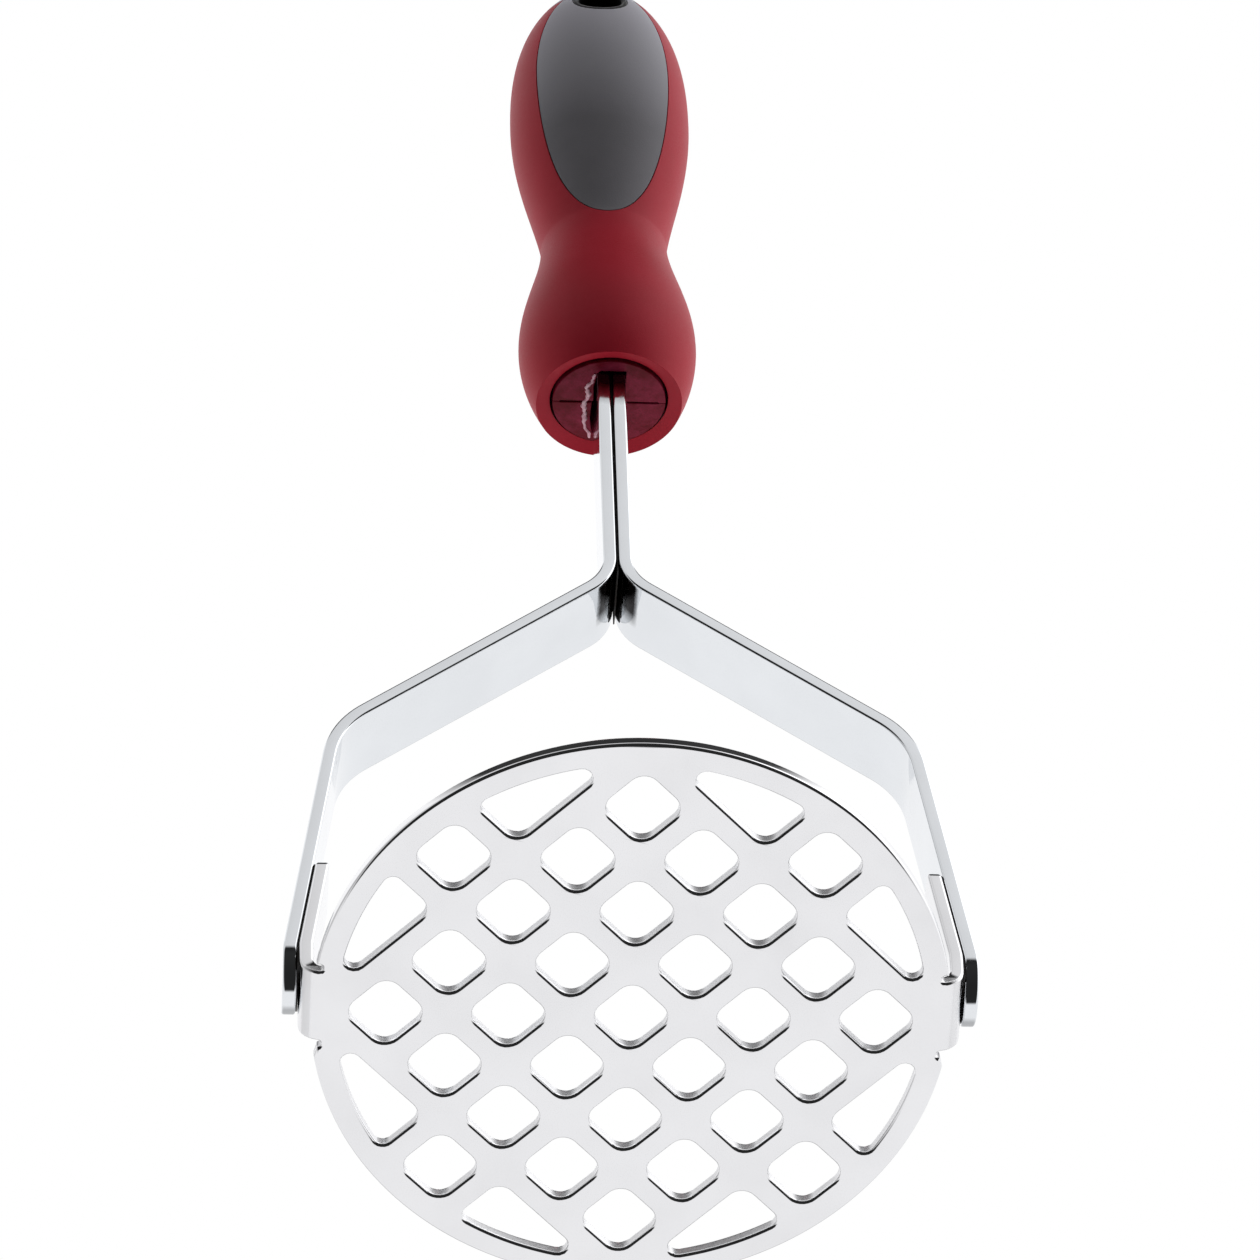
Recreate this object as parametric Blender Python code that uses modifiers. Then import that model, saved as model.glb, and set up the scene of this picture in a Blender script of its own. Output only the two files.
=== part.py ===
"""Potato masher: a round mashing plate with diamond holes, a yoke of two bent strips and a soft-grip handle.

The underside of the plate is the plane z = 0, so the masher stands on it, and the handle leans towards -Y. The
plate is drawn round an empty at its own centre, set back so that the whole masher is centred on the origin.
The yoke and the handle are drawn in the handle's frame, an empty whose +Z is the handle's axis: there x is across
the yoke, y is its depth and z is the height along the handle, called "up" below.
"""

import math

import bmesh
import bpy
from mathutils import Matrix, Vector

MM = 0.001

# Plate
PLATE_RADIUS = 50.0 * MM
SHEET = 2.2 * MM  # steel sheet of the plate and its ears
HOLE_SIDE = 9.5 * MM
BAR_WIDTH = 4.05 * MM
HOLE_CORNER = 2.6 * MM
RIM_WIDTH = 3.9 * MM
RIM_HOLE_CORNER = 1.6 * MM

# Handle's frame
LEAN = math.radians(15.0)
AXIS_HEIGHT = 4.0 * MM  # where the handle's axis starts, above the middle of the plate's underside

# Ears, bent up from the plate
EAR_STAND_OFF = 1.9 * MM  # how far an ear's outer face stands outside the plate's edge
EAR_BEND = 2.6 * MM  # middle radius of the bend
EAR_WIDTH = 12.4 * MM
EAR_FORWARD = 1.3 * MM  # how far an ear's middle stands in front of the strip's middle
EAR_TOP = 22.2 * MM  # up the handle's frame
NOTCH_WIDTH = 1.2 * MM  # relief slot beside an ear's root, as deep as the start of the bend

# Yoke strips
STRIP_THICK = 2.2 * MM
STRIP_WIDTH = 13.7 * MM
STRIP_GAP = 0.3 * MM  # between the two strips in the neck
FOOT_CENTRE = 5.4 * MM  # centre of a strip's round foot, up the handle's frame
FOOT_BEND_UP = 4.9 * MM
ELBOW_INSET = 7.2 * MM  # how far the elbow sits inside the strip's foot
ELBOW_UP = 52.4 * MM
NECK_RISE = 34.8 * MM  # from elbow to neck
FOOT_BEND = 8.0 * MM
ELBOW_BEND = 15.0 * MM
NECK_BEND = 8.7 * MM

# Tangs, the strips' narrow ends inside the handle
SHOULDER_DEPTH = 8.0 * MM
TANG_WIDTH = 10.5 * MM
TANG_DEPTH = 60.0 * MM
PIN_DEPTH = 48.0 * MM
PIN_RADIUS = 1.5 * MM
PIN_LENGTH = 15.0 * MM

# Handle
MOUTH_RISE = 46.4 * MM  # each rise starts where the one before it ends
LOWER_BULGE_RISE = 12.4 * MM
WAIST_RISE = 24.2 * MM
UPPER_BULGE_RISE = 30.8 * MM
TIP_RISE = 31.0 * MM
MOUTH_RADIUS = 12.2 * MM
LOWER_BULGE_RADIUS = 14.9 * MM
WAIST_RADIUS = 10.7 * MM
UPPER_BULGE_RADIUS = 15.35 * MM
GRIP_WALL = 2.8 * MM
CORE_RECESS = 0.4 * MM
CORE_BELOW_TIP = 20.0 * MM

# Cap with its thumb pad
PAD_BELOW_TIP = 29.0 * MM  # the middle of the pad
PAD_HALF_WIDTH = 11.3 * MM
PAD_DROP = 33.6 * MM  # the pad's reach below its middle
PAD_RISE = 25.0 * MM  # and above it
CAP_BELOW_TIP = 8.0 * MM

# Hanging hole
HANG_BELOW_TIP = 10.6 * MM
HANG_WIDTH = 9.6 * MM
HANG_HEIGHT = 9.4 * MM
HANG_CORNER = 4.6 * MM
LINER_WALL = 0.9 * MM

FIT = 0.3 * MM  # gap between pieces that touch

# Heights that follow from the rises
NECK_UP = ELBOW_UP + NECK_RISE
MOUTH_UP = NECK_UP + MOUTH_RISE
LOWER_BULGE_UP = MOUTH_UP + LOWER_BULGE_RISE
WAIST_UP = LOWER_BULGE_UP + WAIST_RISE
UPPER_BULGE_UP = WAIST_UP + UPPER_BULGE_RISE
TIP_UP = UPPER_BULGE_UP + TIP_RISE
CORE_TOP_UP = TIP_UP - CORE_BELOW_TIP
PAD_CENTRE_UP = TIP_UP - PAD_BELOW_TIP
CAP_UP = TIP_UP - CAP_BELOW_TIP
HANG_UP = TIP_UP - HANG_BELOW_TIP

TURN_STEPS = 36
PAST = 5.0 * MM  # how far a cutter reaches past what it cuts


# --- helpers

def new_collection(name, hidden=False):
    made = bpy.data.collections.new(name)
    bpy.context.scene.collection.children.link(made)
    made.hide_render = hidden
    return made


def new_material(name, colour, roughness, metallic=0.0):
    made = bpy.data.materials.new(name)
    made.use_nodes = True
    shader = made.node_tree.nodes["Principled BSDF"]
    shader.inputs["Base Color"].default_value = (*colour, 1.0)
    shader.inputs["Roughness"].default_value = roughness
    shader.inputs["Metallic"].default_value = metallic
    return made


def place(name, data, home, parent=None, material=None):
    """An object for this mesh or curve, in its collection; a cutter gets no material."""
    made = bpy.data.objects.new(name, data)
    home.objects.link(made)
    made.parent = parent
    if material:
        data.materials.append(material)
    else:
        made.hide_render = True
        made.display_type = "WIRE"
    return made


def boolean(obj, cutter, operation="DIFFERENCE"):
    made = obj.modifiers.new(cutter.name, "BOOLEAN")
    made.operation = operation
    made.solver = "EXACT"
    made.object = cutter


def arc(centre, radius, start, end, steps):
    """Points along an arc, both ends included."""
    points = []
    for step in range(steps + 1):
        angle = start + (end - start) * step / steps
        points.append(Vector((centre[0] + radius * math.cos(angle), centre[1] + radius * math.sin(angle))))
    return points


def round_corner(before, corner, after, radius, steps):
    """The points that replace a corner of a path by an arc of this radius."""
    into = (before - corner).normalized()
    out = (after - corner).normalized()
    half = into.angle(out) / 2
    reach = radius / math.tan(half)
    centre = corner + (into + out).normalized() * radius / math.sin(half)
    first = corner + into * reach - centre
    last = corner + out * reach - centre
    turn = first.angle_signed(last)
    start = math.atan2(first.y, first.x)
    return arc(centre, radius, start, start - turn, steps)


def rounded_path(corners, radii, steps=6):
    """An open path through these corners, each inner one rounded by its radius."""
    points = [corners[0]]
    for number, radius in enumerate(radii, start=1):
        points += round_corner(corners[number - 1], corners[number], corners[number + 1], radius, steps)
    return points + [corners[-1]]


def rounded_loop(corners, radius, steps=4):
    """A closed outline through these corners, each rounded by the same radius."""
    points = []
    for number, corner in enumerate(corners):
        after = corners[(number + 1) % len(corners)]
        points += round_corner(corners[number - 1], corner, after, radius, steps)
    return points


def thick_outline(path, thickness):
    """The closed outline of a sheet of this thickness whose middle follows the path."""
    left = []
    right = []
    for number, point in enumerate(path):
        before = path[max(number - 1, 0)]
        after = path[min(number + 1, len(path) - 1)]
        along = (after - before).normalized()
        side = Vector((-along.y, along.x)) * thickness / 2
        left.append(point + side)
        right.append(point - side)
    return left + right[::-1]


def extruded(outlines, half_depth):
    """A mesh with these closed outlines in its XY plane, holes where one lies inside another."""
    curve = bpy.data.curves.new("outline", "CURVE")
    curve.dimensions = "2D"
    curve.fill_mode = "BOTH"
    curve.extrude = half_depth
    for outline in outlines:
        spline = curve.splines.new("POLY")
        spline.points.add(len(outline) - 1)
        for point, (x, y) in zip(spline.points, outline):
            point.co = (x, y, 0.0, 1.0)
        spline.use_cyclic_u = True
    drawn = bpy.data.objects.new("outline", curve)
    bpy.context.scene.collection.objects.link(drawn)
    bpy.context.view_layer.update()
    graph = bpy.context.evaluated_depsgraph_get()
    mesh = bpy.data.meshes.new_from_object(drawn.evaluated_get(graph))
    bpy.data.objects.remove(drawn)
    bpy.data.curves.remove(curve)
    work = bmesh.new()
    work.from_mesh(mesh)
    bmesh.ops.remove_doubles(work, verts=work.verts, dist=1e-6)
    bmesh.ops.recalc_face_normals(work, faces=work.faces)
    work.to_mesh(mesh)
    work.free()
    return mesh


def upright(mesh, middle=0.0):
    """Stands an extruded outline up: its y becomes z, and its depth runs along y round this middle."""
    mesh.transform(Matrix.Translation((0.0, middle, 0.0)) @ Matrix.Rotation(math.pi / 2, 4, "X"))
    return mesh


def turned(name, profile, home, parent, material=None):
    """A solid turned round the handle's axis. The profile runs down its outer side."""
    mesh = bpy.data.meshes.new(name)
    edges = [(number, number + 1) for number in range(len(profile) - 1)]
    mesh.from_pydata([(radius, 0.0, up) for radius, up in profile], edges, [])
    made = place(name, mesh, home, parent, material)
    screw = made.modifiers.new("turn", "SCREW")
    screw.steps = TURN_STEPS
    screw.render_steps = TURN_STEPS
    screw.use_merge_vertices = True
    screw.merge_threshold = 1e-5
    return made


def box(name, low, high, home, parent=None, material=None):
    mesh = bpy.data.meshes.new(name)
    work = bmesh.new()
    bmesh.ops.create_cube(work, size=1.0)
    size = Vector(high) - Vector(low)
    middle = (Vector(high) + Vector(low)) / 2
    bmesh.ops.transform(work, matrix=Matrix.Translation(middle) @ Matrix.Diagonal((*size, 1.0)), verts=work.verts)
    work.to_mesh(mesh)
    work.free()
    return place(name, mesh, home, parent, material)


# --- plate with its ears

HOLE_PITCH = HOLE_SIDE + BAR_WIDTH
HOLE_STEP = HOLE_PITCH / math.sqrt(2)  # half the distance from a hole to the next one in its row
RIM_INNER = PLATE_RADIUS - RIM_WIDTH


def diamond(column, row):
    """A square hole stood on its corner. Columns and rows count in half steps of the pattern."""
    middle = Vector((column, row)) * HOLE_STEP
    tip = HOLE_SIDE / math.sqrt(2)
    corners = [middle + Vector(way) * tip for way in ((1, 0), (0, 1), (-1, 0), (0, -1))]
    return rounded_loop(corners, HOLE_CORNER)


def rim_fillet(normal, distance, side):
    """Where a straight hole edge meets the rim's inner circle, rounded: its centre and angles round it.

    The edge is the line with this unit normal, pointing out of the hole, at this distance from the middle;
    side is +1 for the meeting point a quarter turn on from the normal, and -1 for the other.
    """
    inward = distance - RIM_HOLE_CORNER
    along = Vector((-normal.y, normal.x)) * side
    run = math.sqrt((RIM_INNER - RIM_HOLE_CORNER) ** 2 - inward**2)
    centre = normal * inward + along * run
    on_edge = math.atan2(normal.y, normal.x)
    on_rim = math.atan2(centre.y, centre.x)
    return centre, on_edge, on_rim


def rim_hole(column, row):
    """A hole of the pattern cut short by the rim: its two inner edges and a stretch of the rim's circle."""
    middle = Vector((column, row)) * HOLE_STEP
    outer_edge = Vector((1, -1)).normalized()
    inner_edge = Vector((-1, -1)).normalized()
    outer_distance = middle.dot(outer_edge) + HOLE_SIDE / 2
    inner_distance = middle.dot(inner_edge) + HOLE_SIDE / 2
    corner = middle + (outer_edge + inner_edge) * HOLE_SIDE / 2
    first, first_edge, first_rim = rim_fillet(outer_edge, outer_distance, 1)
    last, last_edge, last_rim = rim_fillet(inner_edge, inner_distance, -1)
    last_edge += 2 * math.pi
    points = arc(corner - (outer_edge + inner_edge) * HOLE_CORNER, HOLE_CORNER, math.pi * 5 / 4, math.pi * 7 / 4, 4)
    points += arc(first, RIM_HOLE_CORNER, first_edge, first_rim, 4)
    points += arc((0, 0), RIM_INNER, first_rim, last_rim, 6)[1:-1]
    points += arc(last, RIM_HOLE_CORNER, last_rim, last_edge, 4)
    return points


def plate_outlines():
    """The plate's circle, its diamonds and, where the rim cuts the pattern, its rim holes."""
    outlines = [arc((0, 0), PLATE_RADIUS, 0.0, 2 * math.pi, 96)[:-1]]
    tip = HOLE_SIDE / math.sqrt(2)
    reach = int(RIM_INNER / HOLE_STEP) + 1
    for column in range(reach + 1):
        for row in range(reach + 1):
            near, far = sorted((column * HOLE_STEP, row * HOLE_STEP))
            if (column + row) % 2 or math.hypot(near, far) > RIM_INNER - HOLE_SIDE / 4:
                continue
            whole = math.hypot(near, far + tip) < RIM_INNER
            for side_x in (1, -1) if column else (1,):
                for side_y in (1, -1) if row else (1,):
                    if whole:
                        outlines.append(diamond(side_x * column, side_y * row))
                    elif row > column:
                        hole = rim_hole(column, row)
                        outlines.append([Vector((side_x * x, side_y * y)) for x, y in hole])
                    elif column > row:
                        hole = rim_hole(row, column)
                        outlines.append([Vector((side_x * y, side_y * x)) for x, y in hole])
    return outlines


EAR_OUTER = PLATE_RADIUS + EAR_STAND_OFF
FOOT_OUT = EAR_OUTER + FIT + STRIP_THICK / 2  # middle of a strip's foot, out from the handle's axis
ELBOW_OUT = FOOT_OUT - ELBOW_INSET
LEG_SLOPE = ELBOW_INSET / (ELBOW_UP - FOOT_BEND_UP)
LEAN_RISE = math.tan(LEAN)


def up_of(point):
    """How far a point of the plate's frame is up the handle's axis."""
    return (point.z - AXIS_HEIGHT) * math.cos(LEAN) - point.y * math.sin(LEAN)


def ear_mesh(side):
    """An upturned ear and the bend and tab that join it to the plate. It leans as the strip beside it does."""
    middle = EAR_OUTER - SHEET / 2
    corners = [Vector((RIM_INNER, SHEET / 2)), Vector((middle, SHEET / 2)), Vector((middle, EAR_TOP + 2 * PAST))]
    outline = thick_outline(rounded_path(corners, [EAR_BEND]), SHEET)
    mesh = upright(extruded([outline], EAR_WIDTH / 2 / math.cos(LEAN)))
    work = bmesh.new()
    work.from_mesh(mesh)
    for vert in work.verts:
        vert.co.y += LEAN_RISE * (AXIS_HEIGHT - max(vert.co.z, SHEET)) - EAR_FORWARD / math.cos(LEAN)
    axis = Vector((0.0, -math.sin(LEAN), math.cos(LEAN)))
    foot = Vector((0.0, 0.0, AXIS_HEIGHT))
    for up, trim in ((FOOT_BEND_UP, False), (EAR_TOP, True)):
        whole = work.verts[:] + work.edges[:] + work.faces[:]
        cut = bmesh.ops.bisect_plane(
            work, geom=whole, dist=1e-7, plane_co=foot + axis * up, plane_no=axis, clear_outer=trim
        )
        if trim:
            rim = [item for item in cut["geom_cut"] if isinstance(item, bmesh.types.BMEdge)]
            bmesh.ops.edgenet_fill(work, edges=rim)
    for vert in work.verts:
        vert.co.x -= LEG_SLOPE * max(up_of(vert.co) - FOOT_BEND_UP, 0.0)
        vert.co.x *= side
    bmesh.ops.triangulate(work, faces=work.faces)
    bmesh.ops.recalc_face_normals(work, faces=work.faces)
    work.to_mesh(mesh)
    work.free()
    return mesh


def make_notches(cutters, frame):
    """The four bend-relief slots, one at each side of each ear's root."""
    half_tab = EAR_WIDTH / 2 / math.cos(LEAN)
    shift = LEAN_RISE * (AXIS_HEIGHT - SHEET) - EAR_FORWARD / math.cos(LEAN)
    start = EAR_OUTER - SHEET / 2 - EAR_BEND
    notches = []
    for side, name in ((1, "right"), (-1, "left")):
        for edge, place_name in ((1, "back"), (-1, "front")):
            x = sorted((side * start, side * (PLATE_RADIUS + PAST)))
            y = sorted((shift + edge * half_tab, shift + edge * (half_tab + NOTCH_WIDTH)))
            low = (x[0], y[0], -PAST)
            notches.append(box(f"notch_{name}_{place_name}", low, (x[1], y[1], PAST), cutters, frame))
    return notches


def make_plate(parts, cutters, frame, steel):
    disc = extruded(plate_outlines(), SHEET / 2)
    disc.transform(Matrix.Translation((0.0, 0.0, SHEET / 2)))
    plate = place("mashing_plate", disc, parts, frame, steel)
    for notch in make_notches(cutters, frame):
        boolean(plate, notch)
    for name, side in (("ear_right", 1), ("ear_left", -1)):
        boolean(plate, place(name, ear_mesh(side), cutters, frame), "UNION")


# --- yoke strips

PAIR_HALF = STRIP_GAP / 2 + STRIP_THICK
SHOULDER_UP = MOUTH_UP + CORE_RECESS + SHOULDER_DEPTH
TANG_UP = MOUTH_UP + TANG_DEPTH
PIN_UP = MOUTH_UP + PIN_DEPTH
DEPTH_TO_X = Matrix(((0, 0, 1, 0), (1, 0, 0, 0), (0, 1, 0, 0), (0, 0, 0, 1)))  # an outline of depth and height


def strip_mesh(side):
    """A strip as it is bent, still of even width: foot, leg, elbow, shoulder, neck and tang."""
    neck_out = (STRIP_GAP + STRIP_THICK) / 2
    corners = [
        Vector((neck_out, TANG_UP + PAST)),
        Vector((neck_out, NECK_UP)),
        Vector((ELBOW_OUT, ELBOW_UP)),
        Vector((FOOT_OUT, FOOT_BEND_UP)),
        Vector((FOOT_OUT, FOOT_CENTRE - STRIP_WIDTH)),
    ]
    path = rounded_path(corners, [NECK_BEND, ELBOW_BEND, FOOT_BEND])
    outline = [Vector((side * point.x, point.y)) for point in thick_outline(path, STRIP_THICK)]
    return upright(extruded([outline], STRIP_WIDTH))


def blank_mesh():
    """The flat shape of a strip seen from its side: a round foot, an even width, and a narrower tang."""
    half = STRIP_WIDTH / 2
    tang = TANG_WIDTH / 2
    outline = arc((0.0, FOOT_CENTRE), half, math.pi, 2 * math.pi, 16)
    for side in (1, -1):
        top = [
            Vector((side * half, FOOT_CENTRE)),
            Vector((side * half, SHOULDER_UP)),
            Vector((side * tang, SHOULDER_UP)),
            Vector((side * tang, TANG_UP)),
            Vector((0.0, TANG_UP)),
        ]
        rounded = rounded_path(top, [MM, MM / 2, MM], 3)[1:-1]
        outline += rounded if side == 1 else rounded[::-1]
    mesh = extruded([outline], FOOT_OUT + PAST)
    mesh.transform(DEPTH_TO_X)
    return mesh


def cross_cylinder(radius, length, up):
    """A cylinder across the handle, along x."""
    work = bmesh.new()
    where = Matrix.Translation((0.0, 0.0, up)) @ Matrix.Rotation(math.pi / 2, 4, "Y")
    bmesh.ops.create_cone(work, cap_ends=True, segments=24, radius1=radius, radius2=radius, depth=length, matrix=where)
    mesh = bpy.data.meshes.new("cross_cylinder")
    work.to_mesh(mesh)
    work.free()
    return mesh


def make_yoke(parts, cutters, frame, steel):
    blank = place("strip_blank", blank_mesh(), cutters, frame)
    pin_hole = place("pin_hole", cross_cylinder(PIN_RADIUS + FIT, PIN_LENGTH + 2 * FIT, PIN_UP), cutters, frame)
    for name, side in (("arm_right", 1), ("arm_left", -1)):
        arm = place(name, strip_mesh(side), parts, frame, steel)
        boolean(arm, blank, "INTERSECT")
        boolean(arm, pin_hole)
    place("tang_pin", cross_cylinder(PIN_RADIUS, PIN_LENGTH, PIN_UP), parts, frame, steel)
    return pin_hole


# --- handle

def handle_radius(up):
    """The handle's outer radius at this height: mouth, lower bulge, waist, upper bulge and rounded tip."""
    if up <= LOWER_BULGE_UP:
        away = (LOWER_BULGE_UP - up) / (LOWER_BULGE_UP - MOUTH_UP)
        return LOWER_BULGE_RADIUS - (LOWER_BULGE_RADIUS - MOUTH_RADIUS) * away**2
    if up <= WAIST_UP:
        away = math.sin(math.pi / 2 * (WAIST_UP - up) / (WAIST_UP - LOWER_BULGE_UP))
        return WAIST_RADIUS + (LOWER_BULGE_RADIUS - WAIST_RADIUS) * away**1.8
    if up <= UPPER_BULGE_UP:
        away = math.sin(math.pi / 2 * (up - WAIST_UP) / (UPPER_BULGE_UP - WAIST_UP))
        return WAIST_RADIUS + (UPPER_BULGE_RADIUS - WAIST_RADIUS) * away**1.3
    away = (up - UPPER_BULGE_UP) / (TIP_UP - UPPER_BULGE_UP)
    return UPPER_BULGE_RADIUS * math.sqrt(max(1 - away**2.4, 0.0))


def heights(low, high, steps):
    return [low + (high - low) * step / steps for step in range(steps + 1)]


def outer_profile(inset=0.0):
    """Radius and height down the handle's outer side, from its tip to its mouth."""
    tip_run = TIP_UP - inset - UPPER_BULGE_UP
    tip = [UPPER_BULGE_UP + tip_run * math.cos(math.pi / 2 * step / 12) for step in range(12)]
    body = heights(UPPER_BULGE_UP, WAIST_UP, 9)[:-1]
    body += heights(WAIST_UP, LOWER_BULGE_UP, 8)[:-1]
    body += heights(LOWER_BULGE_UP, MOUTH_UP + inset, 5)
    points = [(max(handle_radius(up + inset) - inset, 0.0), up) for up in tip[1:] + body]
    return [(0.0, TIP_UP - inset)] + points


def core_profile(inset):
    """Radius and height down the core's outer side; a negative inset gives the bore round it."""
    ups = heights(CORE_TOP_UP - inset, WAIST_UP, 7)[:-1] + heights(WAIST_UP, MOUTH_UP + CORE_RECESS + inset, 6)
    points = [(handle_radius(up) - GRIP_WALL - inset, up) for up in ups]
    return [(0.0, CORE_TOP_UP - inset)] + points


def shell_profile():
    """The soft skin as one piece, before it is parted into sleeve and cap: outer side, mouth and bore."""
    outer = outer_profile()
    bore = core_profile(-FIT)
    bore[-1] = (bore[-1][0], MOUTH_UP)
    return outer + bore[::-1]


def cap_cutter(name, clearance, cutters, frame):
    """All of the handle above the cap's edge, and the thumb pad's tongue that hangs from it in front."""
    wide = UPPER_BULGE_RADIUS + PAST
    tongue = []
    for cosine, sine in arc((0, 0), 1.0, 0.0, 2 * math.pi, 48)[:-1]:
        x = (PAD_HALF_WIDTH + clearance) * cosine
        reach = (PAD_RISE if sine > 0 else PAD_DROP) + clearance
        tongue.append(Vector((x, PAD_CENTRE_UP + reach * sine)))
    deep = (wide + clearance) / 2
    prism = place(name + "_tongue", upright(extruded([tongue], deep), clearance - deep), cutters, frame)
    above = box(name, (-wide, -wide - PAST, CAP_UP - clearance), (wide, wide, TIP_UP + 2 * PAST), cutters, frame)
    boolean(above, prism, "UNION")
    return above


def make_handle(parts, cutters, frame, pin_hole, red, grey, plum, black):
    wide = UPPER_BULGE_RADIUS + PAST
    pockets = (
        ("mouth_pocket", STRIP_WIDTH / 2 + FIT, SHOULDER_UP + FIT),
        ("tang_pocket", TANG_WIDTH / 2 + FIT, TANG_UP + FIT),
    )
    pocket_cutters = []
    for name, depth, top in pockets:
        low = (-PAIR_HALF - FIT, -depth, MOUTH_UP - PAST)
        high = (PAIR_HALF + FIT, depth, top)
        pocket_cutters.append(box(name, low, high, cutters, frame))

    for name, low, high in (("core_front", -FIT / 2, wide), ("core_back", -wide, FIT / 2)):
        core = turned(name, core_profile(0.0) + [(0.0, MOUTH_UP + CORE_RECESS)], parts, frame, plum)
        other_half = box(name + "_other_half", (-wide, low, MOUTH_UP - PAST), (wide, high, TIP_UP), cutters, frame)
        boolean(core, other_half)
        for cutter in pocket_cutters:
            boolean(core, cutter)
        boolean(core, pin_hole)

    hang_hole = place("hang_hole", upright(extruded([hang_loop(0.0)], wide)), cutters, frame)
    sleeve = turned("grip_sleeve", shell_profile(), parts, frame, red)
    boolean(sleeve, cap_cutter("sleeve_window", FIT, cutters, frame))
    boolean(sleeve, hang_hole)
    cap = turned("thumb_cap", shell_profile(), parts, frame, grey)
    boolean(cap, cap_cutter("cap_shape", 0.0, cutters, frame), "INTERSECT")
    boolean(cap, hang_hole)

    envelope = turned("liner_envelope", outer_profile(FIT) + [(0.0, MOUTH_UP + FIT)], cutters, frame)
    ring = upright(extruded([hang_loop(FIT), hang_loop(FIT + LINER_WALL)], wide))
    liner = place("hang_hole_liner", ring, parts, frame, black)
    boolean(liner, envelope, "INTERSECT")


def hang_loop(inset):
    """The hanging hole's rounded outline, made smaller all round by this inset."""
    half_width = HANG_WIDTH / 2 - inset
    half_height = HANG_HEIGHT / 2 - inset
    corners = [Vector((x * half_width, HANG_UP + z * half_height)) for x, z in ((1, 1), (-1, 1), (-1, -1), (1, -1))]
    return rounded_loop(corners, HANG_CORNER - inset, 5)


def main():
    for obj in list(bpy.data.objects):
        bpy.data.objects.remove(obj)
    parts = new_collection("potato_masher")
    cutters = new_collection("cutters", hidden=True)
    steel = new_material("chromed_steel", (0.80, 0.81, 0.82), 0.10, 1.0)
    red = new_material("red_soft_grip", (0.36, 0.012, 0.025), 0.55)
    grey = new_material("grey_soft_grip", (0.075, 0.075, 0.082), 0.60)
    plum = new_material("plum_core", (0.12, 0.012, 0.030), 0.35)
    black = new_material("black_liner", (0.008, 0.008, 0.009), 0.40)

    front = max(up * math.sin(LEAN) + radius * math.cos(LEAN) for radius, up in outer_profile())
    middle = bpy.data.objects.new("plate_middle", None)
    middle.location = (0.0, (front - PLATE_RADIUS) / 2, 0.0)
    parts.objects.link(middle)
    frame = bpy.data.objects.new("handle_axis", None)
    frame.parent = middle
    frame.location = (0.0, 0.0, AXIS_HEIGHT)
    frame.rotation_euler = (LEAN, 0.0, 0.0)
    parts.objects.link(frame)

    make_plate(parts, cutters, middle, steel)
    pin_hole = make_yoke(parts, cutters, frame, steel)
    make_handle(parts, cutters, frame, pin_hole, red, grey, plum, black)


main()
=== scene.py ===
# %% [markdown]
# # A potato masher in chromed steel and soft rubber
#
# This notebook gives the masher's engineering model its looks. Everything is in metres and in the model's own
# frame: the plate's underside lies on z = 0 and the handle leans towards -Y.

import math
from contextlib import contextmanager

import bmesh
import bpy
from mathutils import Matrix, Vector


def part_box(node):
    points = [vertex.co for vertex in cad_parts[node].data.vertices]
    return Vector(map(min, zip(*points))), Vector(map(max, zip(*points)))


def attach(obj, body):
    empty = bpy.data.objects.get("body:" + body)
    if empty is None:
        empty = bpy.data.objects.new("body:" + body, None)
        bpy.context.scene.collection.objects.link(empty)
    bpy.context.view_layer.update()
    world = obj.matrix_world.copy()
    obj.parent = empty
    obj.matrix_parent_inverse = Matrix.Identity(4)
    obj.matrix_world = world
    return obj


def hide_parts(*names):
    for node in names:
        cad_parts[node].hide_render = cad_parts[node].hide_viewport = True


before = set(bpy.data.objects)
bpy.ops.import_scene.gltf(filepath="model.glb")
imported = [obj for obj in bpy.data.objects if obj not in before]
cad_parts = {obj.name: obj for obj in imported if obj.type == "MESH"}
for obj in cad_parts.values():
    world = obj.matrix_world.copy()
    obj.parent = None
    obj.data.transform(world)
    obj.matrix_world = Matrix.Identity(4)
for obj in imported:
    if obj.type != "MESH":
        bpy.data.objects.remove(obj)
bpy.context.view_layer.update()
print("nodes:", sorted(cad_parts))

# %% [markdown]
# ## Where things are
#
# The plate lies flat, and the handle is easiest to describe along its own axis. So there are two frames: one
# round the middle of the plate, and one whose +Z runs up the handle. In the second, x is across the yoke, y
# is its depth with the front at -y, and the height is called "up".

# %% Frames
MM = 0.001
LEAN = math.radians(15.0)
AXIS_HEIGHT = 4.0 * MM  # where the handle's axis starts, above the middle of the plate's underside
plate_low, plate_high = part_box("mashing_plate")
PLATE_RADIUS = (plate_high[1] - plate_low[1]) / 2
PLATE_FRAME = Matrix.Translation((0.0, (plate_high[1] + plate_low[1]) / 2, 0.0))
HANDLE_FRAME = PLATE_FRAME @ Matrix.Translation((0.0, 0.0, AXIS_HEIGHT)) @ Matrix.Rotation(LEAN, 4, "X")
print("plate radius", round(PLATE_RADIUS, 4), "plate middle", PLATE_FRAME.translation)

# %% [markdown]
# ## Writing shaders as sums
#
# A material is a small net of nodes. Wrapping each socket in a class that knows +, -, * and / lets the net be
# written as a formula, which is shorter and easier to follow than a list of links. `Nodes.add` makes every
# other kind of node: its settings go in first, and then the values or links of its sockets.

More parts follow.
